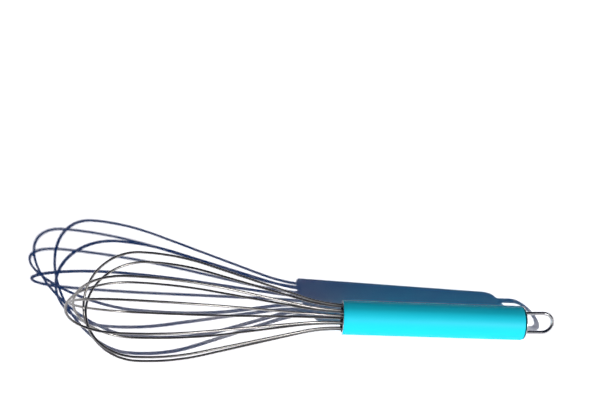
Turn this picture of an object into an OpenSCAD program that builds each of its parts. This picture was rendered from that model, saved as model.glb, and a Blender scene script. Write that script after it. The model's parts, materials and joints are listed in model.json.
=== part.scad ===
// Balloon whisk at rest on a table: five nested wire loops held by a drilled
// plug in the mouth of a tubular handle, with a coloured grip and a hanging
// loop in the end cap.  Millimetres, floor at z = 0, handle towards +X.

/* [Balloon] */
// How far the longest wire loop reaches beyond the mouth of the handle
balloon_reach = 165.4; // [120:0.2:230]
// Width of the widest wire loop, between the centres of its two strands
balloon_d = 71.6; // [54:0.2:96]
// Thickness of the spring wire
wire_d = 1.5; // [1.2:0.1:2]
// Free space between two loops where they cross at the pole
nest_gap = 1; // [0.4:0.1:3]
// How much further the two short loops stay back
short_step = 1.8; // [0:0.2:8]
// Turn of the first loop about the handle, from upright towards the front
first_turn = 56.5; // [0:0.5:90]

/* [Wire entry] */
// Radius of the ring on which the wires leave the plug
entry_r = 7.5; // [6.8:0.1:8]
// How far the plug's face lies inside the mouth of the handle
plug_recess = 2; // [0.5:0.5:5]
// Length of the plug
plug_len = 14; // [8:1:30]
// Straight length of wire outside the plug before the flare begins
tail_out = 0.8; // [0.4:0.2:4]
// Solid plug left behind the blind end of each wire bore
plug_floor = 2; // [1:0.5:6]
// Running space round a wire in its bore
bore_gap = 0.05; // [0.02:0.01:0.1]

/* [Handle] */
// Length of the grip from its mouth to its end face
grip_len = 111.7; // [90:0.1:160]
// Outer diameter of the grip
grip_d = 21; // [20.5:0.5:26]
// Thickness of the coloured sleeve
sleeve_wall = 0.85; // [0.5:0.05:1.2]
// Wall of the steel tube under the sleeve
tube_wall = 0.5; // [0.3:0.05:0.8]
// How far the steel tube stands out of the sleeve at the mouth
rim_out = 0.3; // [0.1:0.1:1]
// Rounding of the sleeve's far end
end_round = 1.6; // [0.8:0.1:1.9]
// Softened outer edge of the sleeve at the mouth
mouth_round = 0.3; // [0.1:0.1:0.5]
// Thickness of the lip that closes the sleeve's far end
lip_len = 3; // [2:0.5:6]
// Clearance between pieces that are pressed together
seat_gap = 0.05; // [0.02:0.01:0.1]

/* [End cap and hanging loop] */
// Outside width of the hanging loop
hang_w = 15; // [12.4:0.1:15.8]
// How far the hanging loop reaches beyond the end of the grip
hang_reach = 19.9; // [14:0.1:28]
// Thickness of the hanging loop's bar
hang_bar_d = 2.2; // [1.8:0.1:2.6]
// Depth to which the loop's legs sit in the end cap
leg_seat = 9; // [5:0.5:10.5]
// Turn of the hanging loop about the handle, from upright towards the front
hang_turn = -34; // [-90:1:90]
// Lean of the hanging loop within its own plane, in degrees
hang_lean = 2; // [-3:0.25:3]
// Wall of the collar outside the loop's legs
collar_wall = 0.5; // [0.4:0.05:0.6]
// How far the flange overhangs the collar
flange_lip = 0.35; // [0.2:0.05:0.6]
// Thickness of the flange
flange_len = 0.7; // [0.4:0.1:1.5]
// Length of the spigot inside the tube
spigot_len = 12; // [10:0.5:20]
// Wall of the spigot's hollow inner end
spigot_wall = 1.1; // [0.8:0.1:2]
// Solid length of the spigot behind the lip, before its hollow begins
spigot_floor = 8; // [6:0.5:9]

/* [Hidden] */
$fn = 96;

// The loops are numbered from the outermost inwards, and each list below goes
// in that order.  The wires are bent by hand, so no two loops are quite alike.
// Half width of each loop, as shares of the widest
width_shares = [1, 0.989, 0.935, 0.922, 0.929];
// Radius of each shoulder, as shares of the most that the loop's S curve allows
shoulder_shares = [0.526, 0.66, 0.605, 0.473, 0.454];
// Radius of the flare at the mouth, as a share of the same most
flare_share = 0.3;
// How far each loop strays from an even spread, as shares of the even pitch
stray_shares = [0, 0.14, 0.39, 0.07, -0.077];
// Lean of each loop within its own plane, in degrees
lean = [-0.85, 0.75, 1.25, 0.7, 0.85];
// Lean of each loop across its own plane, in degrees
sway = [-0.7, -0.9, 0.2, -1.95, 0.15];
// Number of the first of the short loops
first_short = 3;

loops = len(width_shares);
pitch = 180/loops;
wire_r = wire_d/2;
nest_step = wire_d + nest_gap;
flare_start = tail_out - plug_recess;
bore_len = plug_len - plug_floor;
tail_end = -plug_recess - bore_len;
// The loops lean about the middle of their seats, this far inside the mouth
pivot = plug_recess + bore_len/2;

grip_r = grip_d/2;
sleeve_in_r = grip_r - sleeve_wall;
tube_r = sleeve_in_r - seat_gap;
tube_in_r = tube_r - tube_wall;
plug_r = tube_in_r - seat_gap;
tube_end = grip_len - lip_len;
bar_r = hang_bar_d/2;
leg_at = hang_w/2 - bar_r;
bend_at = grip_len + hang_reach - hang_w/2;
collar_r = leg_at + bar_r + collar_wall;
flange_r = collar_r + flange_lip;
// The hanging loop leans about the middle of its legs' seats
seat_mid = grip_len - leg_seat/2;
cut = 1;
// How far a straight or a tip runs into the arcs beside it, and how much
// thicker those are
lap = 0.1;
hair = 0.005;

// Size and place of each loop
function half_w(k) = width_shares[k]*balloon_d/2;
function reach(k) = balloon_reach - k*nest_step - (k >= first_short ? short_step : 0);
function turn(k) = first_turn - (k - stray_shares[k])*pitch;

// One strand is an S curve: a flare arc that leaves the plug straight, a
// straight length and a shoulder arc that ends level with the handle, where
// the half circle of the tip takes over.  The two arcs' radii together may be
// no more than curve_most(k), or no straight line would touch both.
function run(k) = reach(k) - half_w(k) - flare_start;
function swell(k) = half_w(k) - entry_r;
function curve_most(k) = (run(k)*run(k) + swell(k)*swell(k))/(2*swell(k));
function flare_r(k) = flare_share*curve_most(k);
function shoulder_r(k) = shoulder_shares[k]*curve_most(k);
function both_r(k) = flare_r(k) + shoulder_r(k);
function straight_len(k) =
    sqrt(pow(run(k), 2) + pow(both_r(k) - swell(k), 2) - pow(both_r(k), 2));
function bend(k) = atan2(run(k), both_r(k) - swell(k)) - atan2(straight_len(k), both_r(k));

// Directions of loop k in the handle's own axes: out along the loop, and
// across it towards its first strand
function out_dir(k) = [
    -cos(sway[k])*cos(lean[k]),
    -cos(sway[k])*sin(lean[k])*sin(turn(k)) - sin(sway[k])*cos(turn(k)),
    cos(sway[k])*sin(lean[k])*cos(turn(k)) - sin(sway[k])*sin(turn(k))];
function across_dir(k) = [
    sin(lean[k]),
    -cos(lean[k])*sin(turn(k)),
    cos(lean[k])*cos(turn(k))];

// How far each thing reaches along a unit direction d, from the mouth's centre
function loop_extent(k, d) =
    let (a = out_dir(k)*d, b = across_dir(k)*d, n = norm([a, b]), tip = half_w(k))
    pivot*d.x + (reach(k) - tip + pivot)*a + wire_r
        + (a >= 0 ? tip*n : (tip - shoulder_r(k))*abs(b) + shoulder_r(k)*n);
function balloon_extent(d) = max([for (k = [0:loops - 1]) loop_extent(k, d)]);
function grip_extent(d) =
    (grip_len - end_round)*d.x + (grip_r - end_round)*norm([d.y, d.z]) + end_round;
function hang_extent(d) =
    let (across = cos(hang_turn)*d.z - sin(hang_turn)*d.y)
    seat_mid*d.x + bar_r + leg_at*norm([d.x, across])
        + (bend_at - seat_mid)*(cos(hang_lean)*d.x + sin(hang_lean)*across);

// The whisk lies on its lowest strand and on the end of the grip.  The tilt
// that brings both to the floor is found by repeating a small correction.
function down(tilt) = [sin(tilt), 0, -cos(tilt)];
function settle(tilt, times) = times == 0 ? tilt :
    settle(tilt + asin((balloon_extent(down(tilt)) - grip_extent(down(tilt)))
        /(grip_len + balloon_reach)), times - 1);
tilt = settle(0, 12);
mouth_z = balloon_extent(down(tilt));
tip_x = balloon_extent([-cos(tilt), 0, -sin(tilt)]);
hang_x = hang_extent([cos(tilt), 0, sin(tilt)]);
front_y = balloon_extent([0, -1, 0]);
back_y = balloon_extent([0, 1, 0]);

// Sets a piece drawn about the handle's axis down on the floor, with the
// middle of the whole whisk's floor area at the origin
module lay_down()
    translate([(tip_x - hang_x)/2, (front_y - back_y)/2, mouth_z])
        rotate([0, tilt, 0]) children();

// Turns what is drawn along +X to run along the handle, x = 0 at its mouth
module along() rotate([0, 90, 0]) children();

// Plane of loop k, with +X out of the mouth and +Y towards the first strand
module in_loop_plane(k)
    translate([pivot, 0, 0])
        rotate([turn(k) - 90, 0, 0]) rotate([0, 0, 180]) rotate([0, sway[k], lean[k]])
            translate([pivot, 0, 0]) children();

// Round bar bent to a radius about a centre, from one angle through another
module bent_bar(at, radius, from, through, bar)
    translate(at) rotate_extrude(angle = through, start = from)
        translate([radius, 0]) circle(r = bar);

// Straight round bar that starts at a point and runs at an angle in the plane
module straight_bar(at, angle, length, bar)
    translate(at) rotate([0, 0, angle]) along() cylinder(r = bar, h = length);

// One strand of loop k, from its tail in the plug to where the tip begins.
// The two arcs are a hair thicker than what runs into their ends, so that
// all of it fuses into one wire.
module strand(k) {
    flare_at = [flare_start, entry_r + flare_r(k)];
    shoulder_at = [reach(k) - half_w(k), half_w(k) - shoulder_r(k)];
    along_bend = [cos(bend(k)), sin(bend(k))];
    straight_from = flare_at + flare_r(k)*[sin(bend(k)), -cos(bend(k))] - lap*along_bend;
    straight_bar([tail_end, entry_r], 0, flare_start - tail_end + lap, wire_r);
    bent_bar(flare_at, flare_r(k), -90, bend(k), wire_r + hair);
    straight_bar(straight_from, bend(k), straight_len(k) + 2*lap, wire_r);
    bent_bar(shoulder_at, shoulder_r(k), 90, bend(k), wire_r + hair);
}

// Half circle between two strands or legs, run on a little way into both
module half_turn(at, radius, bar) {
    run_on = lap/radius*180/PI;
    bent_bar([at, 0], radius, -90 - run_on, 180 + 2*run_on, bar);
}

// One closed wire loop: two strands joined by the half circle of the tip
module wire_loop(k)
    lay_down() in_loop_plane(k) {
        strand(k);
        mirror([0, 1, 0]) strand(k);
        half_turn(reach(k) - half_w(k), half_w(k), wire_r);
    }

module wire_loop_1() color("silver") wire_loop(0);

module wire_loop_2() color("silver") wire_loop(1);

module wire_loop_3() color("silver") wire_loop(2);

module wire_loop_4() color("silver") wire_loop(3);

module wire_loop_5() color("silver") wire_loop(4);

// Plug with a blind bore for each wire tail, drilled where the tails lie
module wire_plug() color("dimgray") lay_down() difference() {
    translate([plug_recess, 0, 0]) along() cylinder(r = plug_r, h = plug_len);
    for (k = [0:loops - 1], side = [-1, 1])
        in_loop_plane(k)
            translate([tail_end, side*entry_r, 0]) along()
                cylinder(r = wire_r + bore_gap, h = bore_len + cut);
}

module core_tube() color("gainsboro") lay_down() difference() {
    translate([-rim_out, 0, 0]) along() cylinder(r = tube_r, h = tube_end + rim_out - seat_gap);
    translate([-rim_out - cut, 0, 0]) along()
        cylinder(r = tube_in_r, h = tube_end + rim_out + 2*cut);
}

// Outline of the sleeve as a solid of revolution, mouth at the bottom
module sleeve_outline() {
    square([grip_r - mouth_round, mouth_round]);
    translate([0, mouth_round]) square([grip_r, grip_len - mouth_round - end_round]);
    translate([0, grip_len - end_round]) square([grip_r - end_round, end_round]);
    translate([grip_r - mouth_round, mouth_round]) circle(r = mouth_round);
    translate([grip_r - end_round, grip_len - end_round]) circle(r = end_round);
}

module grip_sleeve() color("turquoise") lay_down() along() difference() {
    rotate_extrude() sleeve_outline();
    translate([0, 0, -cut]) cylinder(r = sleeve_in_r, h = tube_end + cut);
    cylinder(r = collar_r + seat_gap, h = grip_len + cut);
}

// Cap: spigot in the tube, collar in the sleeve's lip and flange over the lip,
// drilled for the two legs of the hanging loop
module end_cap() color("whitesmoke") lay_down() difference() {
    union() {
        translate([tube_end - spigot_len, 0, 0]) along()
            cylinder(r = plug_r, h = spigot_len - seat_gap);
        translate([tube_end - seat_gap, 0, 0]) along()
            cylinder(r = collar_r, h = lip_len + 2*seat_gap);
        translate([grip_len + seat_gap, 0, 0]) along() cylinder(r = flange_r, h = flange_len);
    }
    for (side = [-1, 1])
        hang_plane() translate([grip_len - leg_seat, side*leg_at, 0]) along()
            cylinder(r = bar_r + bore_gap, h = leg_seat + flange_len + cut);
    translate([tube_end - spigot_len - cut, 0, 0]) along()
        cylinder(r = plug_r - spigot_wall, h = spigot_len - spigot_floor + cut);
}

// Plane of the hanging loop, with +X out of the cap and +Y across the loop
module hang_plane()
    rotate([hang_turn + 90, 0, 0])
        translate([seat_mid, 0, 0]) rotate([0, 0, hang_lean]) translate([-seat_mid, 0, 0])
            children();

// Bar bent to a U: two legs seated in the cap and the half circle between
module hanging_loop() color("silver") lay_down() hang_plane() {
    for (side = [-1, 1])
        straight_bar([grip_len - leg_seat, side*leg_at], 0,
                     bend_at - grip_len + leg_seat, bar_r);
    half_turn(bend_at, leg_at, bar_r - hair);
}

wire_loop_1();
wire_loop_2();
wire_loop_3();
wire_loop_4();
wire_loop_5();
wire_plug();
core_tube();
grip_sleeve();
end_cap();
hanging_loop();
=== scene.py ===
import json

import bpy
import numpy as np
from mathutils import Matrix


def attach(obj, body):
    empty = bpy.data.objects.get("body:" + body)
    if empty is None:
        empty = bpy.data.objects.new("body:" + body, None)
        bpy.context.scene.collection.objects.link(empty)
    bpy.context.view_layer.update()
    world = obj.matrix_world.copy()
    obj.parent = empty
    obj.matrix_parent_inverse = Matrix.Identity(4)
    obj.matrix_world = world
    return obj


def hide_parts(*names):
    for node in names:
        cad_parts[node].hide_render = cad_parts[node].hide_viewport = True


# A balloon whisk of five nested wire loops with a turquoise grip, lying on a
# white table.  Lengths are in metres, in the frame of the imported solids: the
# handle runs towards +X, and the balloon lies towards -X.
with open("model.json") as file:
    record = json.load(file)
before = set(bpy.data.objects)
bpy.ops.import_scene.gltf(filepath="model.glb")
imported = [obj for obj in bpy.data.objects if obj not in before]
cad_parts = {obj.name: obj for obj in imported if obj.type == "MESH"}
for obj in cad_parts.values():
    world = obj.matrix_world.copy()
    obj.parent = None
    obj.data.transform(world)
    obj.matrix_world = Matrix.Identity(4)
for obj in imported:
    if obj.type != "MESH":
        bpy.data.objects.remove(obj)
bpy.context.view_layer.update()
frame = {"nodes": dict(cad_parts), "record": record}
mm = 0.001

# The five wire loops: each is one length of hard-drawn stainless wire, bent
# to a closed loop and nested in the next, bright from the die and from
# tumbling, with fine lines along it.  Its two tails are pushed into the plug.
wire_r = 0.75*mm
balloon_reach, balloon_r = 165.4*mm, 35.8*mm     # of loop 0, the outermost
nest_step = 2.5*mm                               # from each loop to the next
short_step, first_short = 1.8*mm, 3              # loops 3 and 4 stay back more
first_turn, pitch = 56.5, 36                     # degrees about the handle
entry_r = 7.5*mm                                 # ring of the ten tails
tail_end, flare_start = -14*mm, -1.2*mm          # a tail, along its loop
pivot = 8*mm                                     # middle of the tails' seats
flare_share = 0.3
hand_bends = [
    # Shares of the widest loop, of the widest shoulder that its curve allows
    # and of the pitch by which it strays, then its lean and sway in degrees
    (1, 0.526, 0, -0.85, -0.7),
    (0.989, 0.66, 0.14, 0.75, -0.9),
    (0.935, 0.605, 0.39, 1.25, 0.2),
    (0.922, 0.473, 0.07, 0.7, -1.95),
    (0.929, 0.454, -0.077, 0.85, 0.15),
]

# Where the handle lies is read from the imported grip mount, which is at the
# middle of its hold.  The hold starts a little inside the handle's mouth, and
# the mount's axis points down to the handle's far end.
grip_mount = next(m for m in frame["record"]["mounts"] if m["name"] == "grip")
hold_from = 0.3*mm
hold_mid = hold_from + grip_mount["dims"]["length_mm"]*mm/2
mouth = np.array(grip_mount["pos_m"]) - hold_mid*np.array(grip_mount["axis"])
tilt = np.degrees(-np.arcsin(grip_mount["axis"][2]))


def turn_about(axis, degrees):
    """Rotation matrix about one axis, by an angle in degrees."""
    return np.array(Matrix.Rotation(np.radians(degrees), 3, axis))


def lie_down(points):
    """Points in the handle's own axes, x = 0 at its mouth, turned by the tilt
    about Y and carried to where the mouth is above the table."""
    return points @ turn_about("Y", tilt).T + mouth


def bent_path(start, heading, pieces, step):
    """A flat path of straights and arcs as complex numbers.  Over a piece the
    heading h grows evenly with the distance t at a rate k = turn/length, so
    the point is start + (e^i(h + kt) - e^ih)/ik, or start + t e^ih if k = 0.
    Gives the points, their headings and how far along the path they are."""
    points, headings, gone = [], [], []
    at, so_far = start, 0.0
    for length, turn in pieces:
        t = np.linspace(0, length, max(int(length/step), 3) + 1)
        k, ahead = turn/length, np.exp(1j*heading)
        bow = (np.exp(1j*k*t) - 1)/(1j*k) if turn else t
        points.append((at + ahead*bow)[:-1])
        headings.append((heading + k*t)[:-1])
        gone.append((so_far + t)[:-1])
        at, heading, so_far = at + ahead*bow[-1], heading + turn, so_far + length
    return (np.append(np.concatenate(points), at),
            np.append(np.concatenate(headings), heading),
            np.append(np.concatenate(gone), so_far))


def loop_path(reach, half, shoulder_share, step=0.8*mm):
    """One wire from tail to tail: straight out of the plug, flare arc,
    straight, shoulder arc and half circle, then the same back.  The straight
    is the common tangent of the two arcs, whose radii are shares of the
    largest that still leaves one."""
    run, swell = reach - half - flare_start, half - entry_r
    most = (run**2 + swell**2)/(2*swell)
    flare, shoulder = flare_share*most, shoulder_share*most
    both = flare + shoulder
    straight = np.sqrt(run**2 + (both - swell)**2 - both**2)
    bend = np.arctan2(run, both - swell) - np.arctan2(straight, both)
    out = [(flare_start - tail_end, 0), (flare*bend, bend),
           (straight, 0), (shoulder*bend, -bend)]
    tip = [(np.pi*half, -np.pi)]
    return bent_path(tail_end + 1j*entry_r, 0.0, out + tip + out[::-1], step)


def round_bar(path, headings, gone, radius, around=24, chamfer_share=0.2):
    """Rings of a round bar along a flat path: the path plus radius times
    (cos a to the path's left, sin a out of its plane), its two ends broken by
    a small chamfer.  Also the same rings on the bar before it is bent."""
    chamfer = chamfer_share*radius
    ahead = np.exp(1j*headings)
    path = np.concatenate([path[:1], [path[0] + chamfer*ahead[0]], path[1:-1],
                           [path[-1] - chamfer*ahead[-1]], path[-1:]])
    headings = np.concatenate([headings[:1], headings, headings[-1:]])
    gone = np.concatenate([gone[:1], [chamfer], gone[1:-1],
                           [gone[-1] - chamfer], gone[-1:]])
    r = np.full(len(path), radius)
    r[[0, -1]] -= chamfer
    a = np.linspace(0, 2*np.pi, around, endpoint=False)
    left = r[:, None]*np.cos(a)
    up = r[:, None]*np.sin(a)
    x = path.real[:, None] - left*np.sin(headings)[:, None]
    y = path.imag[:, None] + left*np.cos(headings)[:, None]
    bent = np.stack([x, y, up], axis=-1)
    straight = np.stack([np.repeat(gone[:, None], around, 1), left, up], axis=-1)
    return bent, straight


def skin(name, rings, bench, closed=False, sharp=40):
    """Mesh over a grid of rings, each closed on itself and joined to the next
    by quads; the first and the last are joined to each other, or each has a
    pole at its middle.  It is turned inside out where its volume, a sixth of
    the sum of the triple products of its triangles, comes out negative.  The
    attribute bench keeps each point's place in mm on the piece as it was
    before it was bent or laid down."""
    n, m = rings.shape[:2]
    i, j = np.meshgrid(np.arange(n if closed else n - 1), np.arange(m), indexing="ij")
    i2, j2 = (i + 1) % n, (j + 1) % m
    quads = np.stack([i*m + j, i*m + j2, i2*m + j2, i2*m + j], -1).reshape(-1, 4)
    points, places = rings.reshape(-1, 3), bench.reshape(-1, 3)
    fans = np.zeros((0, 3), int)
    if not closed:
        points = np.vstack([points, rings[0].mean(0), rings[-1].mean(0)])
        places = np.vstack([places, bench[0].mean(0), bench[-1].mean(0)])
        j = np.arange(m)
        j2 = (j + 1) % m
        first = np.stack([j2, j, np.full(m, n*m)], -1)
        last = np.stack([(n - 1)*m + j, (n - 1)*m + j2, np.full(m, n*m + 1)], -1)
        fans = np.vstack([first, last])
    halves = np.vstack([quads[:, :3], quads[:, [0, 2, 3]], fans])
    a, b, c = (points[halves[:, k]] for k in range(3))
    if (np.cross(a, b)*c).sum() < 0:
        quads, fans = quads[:, ::-1], fans[:, ::-1]
    corners = np.concatenate([quads.ravel(), fans.ravel()])
    starts = np.concatenate([4*np.arange(len(quads)),
                             4*len(quads) + 3*np.arange(len(fans))])
    mesh = bpy.data.meshes.new(name)
    mesh.vertices.add(len(points))
    mesh.vertices.foreach_set("co", points.ravel())
    mesh.loops.add(len(corners))
    mesh.loops.foreach_set("vertex_index", corners.astype(np.int32))
    mesh.polygons.add(len(starts))
    mesh.polygons.foreach_set("loop_start", starts.astype(np.int32))
    mesh.update(calc_edges=True)
    mesh.shade_smooth()
    mesh.set_sharp_from_angle(angle=np.radians(sharp))
    kept = mesh.attributes.new("bench", "FLOAT_VECTOR", "POINT")
    kept.data.foreach_set("vector", (places/mm).ravel())
    piece = bpy.data.objects.new(name, mesh)
    bpy.context.scene.collection.objects.link(piece)
    return piece


class Feed:
    """A socket of a shader tree to calculate with.  a + b and a*b each add
    one Math node; every other node comes from node()."""

    def __init__(self, tree, socket=None):
        self.tree, self.socket = tree, socket

    def node(self, kind, settings=(), output=0, **sockets):
        """Adds a node, sets its settings, and then sets or links its sockets,
        which are named s0, s1 and so on, or by their name with _ for a space.
        Gives one of its outputs, by number or name."""
        made = self.tree.nodes.new("ShaderNode" + kind)
        for name, value in dict(settings).items():
            setattr(made, name, value)
        for name, value in sockets.items():
            numbered = name[0] == "s" and name[1:].isdigit()
            socket = made.inputs[int(name[1:]) if numbered else name.replace("_", " ")]
            if isinstance(value, Feed):
                self.tree.links.new(value.socket, socket)
            else:
                socket.default_value = value
        return Feed(self.tree, made.outputs[output])

    def __add__(self, other):
        return self.node("Math", {"operation": "ADD"}, s0=self, s1=other)

    def __mul__(self, other):
        return self.node("Math", {"operation": "MULTIPLY"}, s0=self, s1=other)

    __radd__, __rmul__ = __add__, __mul__

    def stretched(self, scale):
        """These coordinates times a scale for each axis."""
        return self.node("VectorMath", {"operation": "MULTIPLY"}, s0=self, s1=scale)

    def noise(self, scale, detail=2.0, roughness=0.5):
        """Smooth noise from 0 to 1 at these coordinates, with a scale for
        each axis."""
        place = self.stretched(scale)
        return place.node("TexNoise", Vector=place, Scale=1.0, Detail=detail,
                          Roughness=roughness)

    def between(self, low, high):
        """Mix of two colours, by this value."""
        low, high = (c if isinstance(c, Feed) else (*c, 1) for c in (low, high))
        return self.node("Mix", {"data_type": "RGBA"}, 2, s0=self, s6=low, s7=high)

    def bump(self, strength, depth):
        """Normal of a surface whose height is this value times the depth."""
        return self.node("Bump", Height=self, Strength=strength, Distance=depth)


on_bench = ("Attribute", {"attribute_name": "bench"}, "Vector")


def new_finish(name, place=on_bench, **constants):
    """A material with a Principled shader whose constant sockets are set
    here, and the place of the surface's points: in mm on the piece's own
    bench, or in metres in the frame."""
    material = bpy.data.materials.new(name)
    material.use_nodes = True
    tree = material.node_tree
    shader = tree.nodes["Principled BSDF"]
    for socket, value in constants.items():
        shader.inputs[socket.replace("_", " ")].default_value = value
    return material, shader, Feed(tree).node(*place)


def drive(shader, **feeds):
    """Links calculated values to the shader's sockets."""
    for socket, feed in feeds.items():
        feed.tree.links.new(feed.socket, shader.inputs[socket.replace("_", " ")])


def dress(piece, finish, slot, *replaced):
    """A finished piece rides on the whisk's one body, takes its finish and
    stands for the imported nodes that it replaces."""
    piece.data.materials.append(finish)
    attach(piece, "root")
    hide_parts(*replaced)


# Drawn steel: bright, with long fine die lines, patches where tumbling left
# it duller, and faint brownish water marks.
water_mark, mark_depth = (0.20, 0.165, 0.14), 0.6
wire_steel, shader, bench = new_finish("drawn steel wire", Metallic=1.0)
die_lines = bench.noise((0.02, 9.0, 9.0), detail=3.0, roughness=0.6)
dull = bench.noise((0.09, 0.5, 0.5), detail=3.0)
drops = bench.noise((0.35, 0.9, 0.9), detail=4.0, roughness=0.7)
dried = drops.node("MapRange", Value=drops, From_Min=0.52, From_Max=0.72)
clean = die_lines.between((0.25, 0.24, 0.232), (0.34, 0.33, 0.32))
drive(shader,
      Base_Color=(dried*mark_depth).between(clean, water_mark),
      Roughness=0.26 + die_lines*0.04 + dull*0.07,
      Normal=die_lines.bump(0.01, 0.01*mm))

for k, (width_share, shoulder_share, stray_share, lean, sway) in enumerate(hand_bends):
    node = f"wire_loop_{k + 1}"
    reach = balloon_reach - k*nest_step - (short_step if k >= first_short else 0)
    turn = first_turn - (k - stray_share)*pitch
    path = loop_path(reach, width_share*balloon_r, shoulder_share)
    bent, straight = round_bar(*path, wire_r)
    # Out of the loop's own plane: moved to the pivot, leaned and swayed about
    # it, faced the other way, turned round the handle and moved back.
    swing = (turn_about("X", turn - 90) @ turn_about("Z", 180)
             @ turn_about("Z", lean) @ turn_about("Y", sway))
    placed = (bent + [pivot, 0, 0]) @ swing.T + [pivot, 0, 0]
    wire = skin("bright_" + node, lie_down(placed), straight)
    dress(wire, wire_steel, "wire", node)

# The plug that holds the wires: dark moulded plastic, pressed into the tube a
# little way inside the mouth, with a blind bore for each tail.  The packed
# solid has its full shape, so here it only gets its finish.
in_frame = ("TexCoord", {}, "Object")

plug_plastic, shader, place = new_finish("dark plug plastic", in_frame, IOR=1.46)
grain = place.noise((2500, 2500, 2500), detail=3.0, roughness=0.6)
cloud = place.noise((220, 220, 220))
drive(shader,
      Base_Color=cloud.between((0.018, 0.020, 0.024), (0.035, 0.037, 0.042)),
      Roughness=0.5 + grain*0.2,
      Normal=grain.bump(0.3, 0.05*mm))
frame["nodes"]["wire_plug"].material_slots[0].material = plug_plastic

# The core tube: thin stainless tube that carries the grip.  Only its rim
# shows at the mouth, spun outwards to a thin polished lip over the grip's end.
tube_r, tube_in_r, lip_r = 9.6*mm, 9.1*mm, 10.35*mm
tube_from, tube_to = -0.3*mm, 108.65*mm
lip_round = 0.14*mm


def corner(x, r, radius, first, last, steps=6):
    """Rounded corner of a turned profile: points at a radius from (x, r), the
    centre, from the first to the last angle in degrees."""
    a = np.radians(np.linspace(first, last, steps + 1))
    return np.stack([x + radius*np.cos(a), r + radius*np.sin(a)], -1)


def turned(profile, around=96):
    """Rings of a turned piece about the handle's axis: each profile point
    (x, r) goes round as (x, r cos a, r sin a)."""
    x, r = np.asarray(profile).T[:, :, None]
    a = np.linspace(0, 2*np.pi, around, endpoint=False)
    return np.stack(np.broadcast_arrays(x, r*np.cos(a), r*np.sin(a)), -1)


def finer(profile, step):
    """The same closed profile with no stretch longer than the step."""
    fine = []
    for a, b in zip(profile, np.roll(profile, -1, axis=0)):
        n = max(int(np.ceil(np.hypot(*(b - a))/step)), 1)
        fine.append(a + (b - a)*np.linspace(0, 1, n, endpoint=False)[:, None])
    return np.concatenate(fine)


tube_profile = np.vstack([
    corner(tube_from + lip_round, lip_r - lip_round, lip_round, 0, 180, steps=12),
    corner(tube_from + lip_round, tube_in_r + lip_round, lip_round, 180, 270),
    [(tube_to, tube_in_r), (tube_to, tube_r), (tube_from + 2*lip_round, tube_r)],
])
rings = turned(finer(tube_profile, step=6*mm))
tube = skin("steel_core_tube", lie_down(rings), rings, closed=True)
tube_steel, shader, bench = new_finish("turned steel tube", Metallic=1.0)
rings_cut = bench.noise((14.0, 0.3, 0.3), detail=3.0, roughness=0.6)
scuff = bench.noise((0.5, 0.5, 0.5), detail=3.0)
drive(shader,
      Base_Color=scuff.between((0.72, 0.72, 0.73), (0.82, 0.82, 0.82)),
      Roughness=0.1 + rings_cut*0.08 + scuff*0.06,
      Normal=rings_cut.bump(0.05, 0.03*mm))
dress(tube, tube_steel, "tube", "core_tube")

# The grip: a turquoise sleeve of satin soft-touch rubber, moulded in one
# piece, cut square at the mouth and rounded over at its far end, where a lip
# closes it round the end cap's collar.
grip_r, end_r, bore_r, lip_bore_r = 10.5*mm, 10.48*mm, 9.65*mm, 8.05*mm
grip_len, bore_len = 110.85*mm, 108.7*mm
mouth_round, end_round, bore_edge = 0.15*mm, 0.8*mm, 0.1*mm

grip_profile = np.vstack([
    corner(mouth_round, grip_r - mouth_round, mouth_round, 180, 90, steps=4),
    corner(grip_len - end_round, end_r - end_round, end_round, 90, 0, steps=16),
    [(grip_len, lip_bore_r + bore_edge), (grip_len - bore_edge, lip_bore_r),
     (bore_len, lip_bore_r), (bore_len, bore_r), (0, bore_r)],
])
rings = turned(finer(grip_profile, step=3*mm), around=128)
grip = skin("satin_grip", lie_down(rings), rings, closed=True, sharp=50)
satin, shader, bench = new_finish("satin turquoise rubber", IOR=1.4,
                                  Specular_IOR_Level=0.3)
fine_grain = bench.noise((4.5, 4.5, 4.5), detail=3.0, roughness=0.65)
flow = bench.noise((0.03, 0.12, 0.12))
handled = bench.noise((0.06, 0.10, 0.10), detail=3.0)
drive(shader,
      Base_Color=flow.between((0.012, 0.75, 0.97), (0.020, 0.81, 1.0)),
      Roughness=0.42 + handled*0.08 + fine_grain*0.05,
      Normal=fine_grain.bump(0.3, 0.06*mm))
dress(grip, satin, "grip", "grip_sleeve")

# The end cap: one turned piece of bright steel with a spigot in the tube and
# a thin polished flange, a hair away from the end of the grip.  Its face has
# the fine rings that the turning tool left.
spigot_r, collar_r, flange_r = 9.05*mm, 8.0*mm, 10.1*mm
spigot_from, collar_from = 96.7*mm, 108.65*mm
flange_from, flange_to = 111.4*mm, 112.0*mm
flange_round, flange_edge = 0.2*mm, 0.1*mm
pole_r = 0.05*mm                                 # innermost ring of each face

cap_profile = np.vstack([
    [(flange_to, pole_r)],
    corner(flange_to - flange_round, flange_r - flange_round, flange_round, 0, 90),
    corner(flange_from + flange_edge, flange_r - flange_edge, flange_edge, 90, 180,
           steps=3),
    [(flange_from, collar_r), (collar_from, collar_r), (collar_from, spigot_r),
     (spigot_from, spigot_r), (spigot_from, pole_r)],
])
rings = turned(cap_profile)
cap = skin("bright_end_cap", lie_down(rings), rings)
bright, shader, bench = new_finish("bright cap steel", Metallic=1.0)
haze = bench.noise((0.26, 0.26, 0.26), detail=3.0)
across = bench.stretched((0, 1, 1))
from_axis = across.node("VectorMath", {"operation": "LENGTH"}, "Value", s0=across)
tool_marks = from_axis.node("TexNoise", {"noise_dimensions": "1D"}, W=from_axis*7,
                            Scale=1.0, Detail=3.0, Roughness=0.6)
drive(shader,
      Base_Color=haze.between((0.50, 0.50, 0.505), (0.60, 0.60, 0.60)),
      Roughness=0.12 + haze*0.08 + tool_marks*0.12,
      Normal=tool_marks.bump(0.2, 0.05*mm))
dress(cap, bright, "cap", "end_cap")

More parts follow.
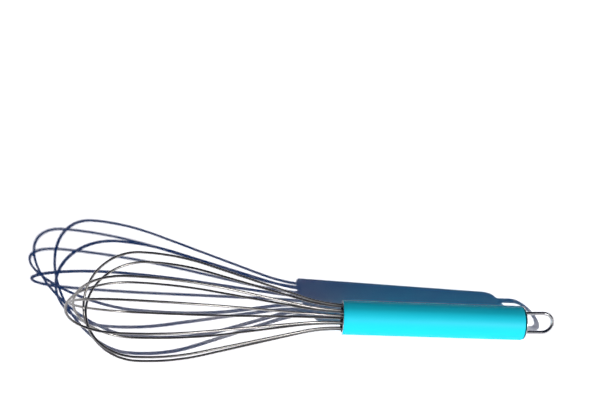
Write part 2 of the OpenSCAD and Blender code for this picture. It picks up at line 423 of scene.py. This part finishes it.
# The hanging loop: bright steel bar bent to a U, its two legs pressed into
# the cap, leaning up a little from the handle's own line.
hang_bar_r = 1.095*mm
leg_at = 6.4*mm                                  # from the handle's axis
leg_from, bend_at, seat_mid = 102.7*mm, 124.1*mm, 107.2*mm
hang_turn, hang_lean = -34, 2                    # degrees

leg = [(bend_at - leg_from, 0)]
half_turn = [(np.pi*leg_at, -np.pi)]
path = bent_path(leg_from + 1j*leg_at, 0.0, leg + half_turn + leg, step=0.4*mm)
bent, straight = round_bar(*path, hang_bar_r, around=32)
leaned = (bent - [seat_mid, 0, 0]) @ turn_about("Z", hang_lean).T + [seat_mid, 0, 0]
turned_up = leaned @ turn_about("X", hang_turn + 90).T
loop = skin("bright_hanging_loop", lie_down(turned_up), straight)
loop_steel, shader, bench = new_finish("bright bar steel", Metallic=1.0)
polish = bench.noise((0.5, 6.0, 6.0), detail=3.0, roughness=0.6)
knocks = bench.noise((0.5, 0.7, 0.7), detail=3.0)
drive(shader,
      Base_Color=knocks.between((0.38, 0.38, 0.39), (0.50, 0.50, 0.505)),
      Roughness=0.08 + polish*0.08 + knocks*0.06,
      Normal=polish.bump(0.06, 0.04*mm))
dress(loop, loop_steel, "loop", "hanging_loop")

# The table and the screen of the studio: a white top that keeps the whisk's
# shadow, and a low white screen all round it, which shows as white in what is
# seen or mirrored and gives no light of its own.
table_r, screen_h, sides = 3.0, 0.5, 64


def white_finish(name, lit_white, shown_white, glow):
    """White matt surface.  To the camera, and in what is polished or clear,
    it has a colour so pale that it shows as white wherever light falls on it,
    so that only shadows are seen on it, or it glows."""
    material = bpy.data.materials.new(name)
    material.use_nodes = True
    tree = material.node_tree
    tree.nodes.remove(tree.nodes["Principled BSDF"])
    rays = Feed(tree).node("LightPath").socket.node.outputs
    seen, mirrored, refracted = (Feed(tree, rays[f"Is {kind} Ray"])
                                 for kind in ("Camera", "Glossy", "Transmission"))
    shown = seen + mirrored + refracted
    colour = shown.between((lit_white,)*3, (shown_white,)*3)
    matt = shown.node("BsdfDiffuse", Color=colour)
    light = shown.node("Emission", Color=(1, 1, 1, 1), Strength=shown*glow)
    both = shown.node("AddShader", s0=matt, s1=light)
    tree.links.new(both.socket, tree.nodes["Material Output"].inputs["Surface"])
    return material


def stand(name, points, faces, finish):
    """A piece of the studio, which isn't part of the whisk."""
    mesh = bpy.data.meshes.new(name)
    mesh.from_pydata(points.tolist(), [], faces)
    mesh.materials.append(finish)
    thing = bpy.data.objects.new(name, mesh)
    bpy.context.scene.collection.objects.link(thing)
    return thing


# The points of the edge go round as table_r times (cos a, sin a).
a = np.linspace(0, 2*np.pi, sides, endpoint=False)
edge = np.stack([table_r*np.cos(a), table_r*np.sin(a), 0*a], -1)
k = np.arange(sides)
k2 = (k + 1) % sides
table_white = white_finish("table white", lit_white=0.45, shown_white=2.9, glow=0.0)
stand("table", edge, [k.tolist()], table_white)
screen_white = white_finish("screen white", lit_white=0.0, shown_white=0.0, glow=1.0)
screen = stand("screen", np.vstack([edge, edge + [0, 0, screen_h]]),
               np.stack([k, k + sides, k2 + sides, k2], -1).tolist(), screen_white)
screen.visible_shadow = False                    # lets the low fills through

# The light: a small far key from the right front, a low fill from in front, a
# faint bluish one from behind, and a dim blue room all round.


def toward(azimuth, elevation):
    """Direction from the whisk to something at an azimuth, 0 in front of it
    and 90 to its right, and an elevation, in degrees."""
    a, e = np.radians([azimuth, elevation])
    return np.array([np.sin(a)*np.cos(e), -np.cos(a)*np.cos(e), np.sin(e)])


def far_lamp(name, azimuth, elevation, strength, width, colour, glints=True):
    """A far lamp of some width in degrees, whose strength is the brightness
    that it gives a white matt surface that faces it.  It may be kept out of
    what polished surfaces mirror."""
    data = bpy.data.lights.new(name, "SUN")
    data.energy, data.angle, data.color = np.pi*strength, np.radians(width), colour
    lamp = bpy.data.objects.new(name, data)
    lamp.visible_glossy = glints
    back = toward(azimuth, elevation)
    side = np.cross([0, 0, 1], back)
    side /= np.linalg.norm(side)
    stance = np.eye(4)
    stance[:3, :3] = np.stack([side, np.cross(back, side), back], 1)
    lamp.matrix_world = Matrix(stance.tolist())
    bpy.context.scene.collection.objects.link(lamp)


far_lamp("key", azimuth=37.15, elevation=32.66, strength=0.68, width=0.6,
         colour=(1.0, 0.99, 0.97))
far_lamp("low_fill", azimuth=-8, elevation=0.5, strength=0.58, width=0.9,
         colour=(1.0, 1.0, 1.0), glints=False)
far_lamp("back_fill", azimuth=172, elevation=0.5, strength=0.13, width=0.9,
         colour=(0.4, 0.75, 1.0), glints=False)

room_blue, room_strength = (0.05, 0.22, 1.0, 1), 0.03
world = bpy.data.worlds.new("room")
bpy.context.scene.world = world
world.use_nodes = True
room = world.node_tree.nodes["Background"].inputs
room["Color"].default_value = room_blue
room["Strength"].default_value = room_strength

# The camera, as far from the whisk and as high above it as the photograph's,
# for a picture 612 pixels wide.
picture_w = 612
focal_px = 895.73
film_w = 36                                      # mm
aim = np.array([-4.051, 102.280, 0])*mm
distance = 624.865*mm
azimuth, elevation, roll = 0.442, 51.812, -1.280

back = toward(azimuth, elevation)
side = np.array([np.cos(np.radians(azimuth)), np.sin(np.radians(azimuth)), 0])
up = np.cross(back, side)
c, s = np.cos(np.radians(roll)), np.sin(np.radians(roll))
stance = np.eye(4)
stance[:3, :3] = np.stack([c*side + s*up, c*up - s*side, back], 1)
stance[:3, 3] = aim + distance*back
camera_data = bpy.data.cameras.new("camera")
camera_data.sensor_width = film_w
camera_data.lens = focal_px*film_w/picture_w
camera_data.clip_start, camera_data.clip_end = 0.01, 20
camera = bpy.data.objects.new("camera", camera_data)
camera.matrix_world = Matrix(stance.tolist())
bpy.context.scene.collection.objects.link(camera)
bpy.context.scene.camera = camera
bpy.context.scene.view_settings.view_transform = "Standard"
